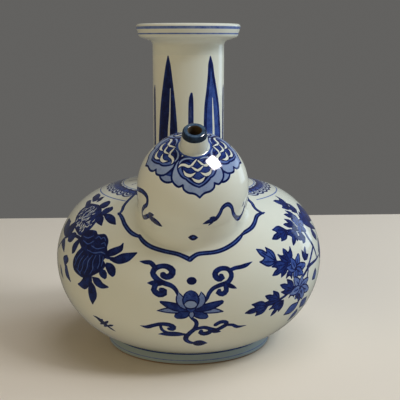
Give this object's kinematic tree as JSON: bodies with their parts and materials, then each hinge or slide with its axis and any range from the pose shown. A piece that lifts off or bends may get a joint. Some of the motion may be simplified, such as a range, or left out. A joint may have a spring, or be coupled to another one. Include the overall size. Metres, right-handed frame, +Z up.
{
  "type": "kendi",
  "caption": "Round-bodied porcelain pouring vessel with a flanged neck for filling and a bulb-shaped spout for pouring, painted in blue under a clear glaze.",
  "frame": {"origin": "centre of the foot ring, on the surface that the vessel stands on", "axes": "+Z up along the axis of body and neck, -Y towards the spout, +X to the right when the spout faces the viewer"},
  "size_m": [0.172, 0.1796, 0.205],
  "materials": {
    "glazed_porcelain": "clear glossy glaze over white porcelain, painted in cobalt blue under the glaze",
    "luting_slip": "fired porcelain slip, under the same clear glaze where it shows",
    "cobalt_lip": "cobalt blue painted porcelain under a clear glossy glaze"
  },
  "bodies": {
    "root": {"foot_ring": "glazed_porcelain", "foot_luting": "luting_slip", "lower_body": "glazed_porcelain", "body_luting": "luting_slip", "upper_body": "glazed_porcelain", "neck_luting": "luting_slip", "neck": "glazed_porcelain", "mouth_luting": "luting_slip", "mouth_flange": "glazed_porcelain", "spout_luting": "luting_slip", "spout_bulb": "glazed_porcelain", "nozzle_luting": "luting_slip", "spout_nozzle": "cobalt_lip"}
  },
  "joints": []
}
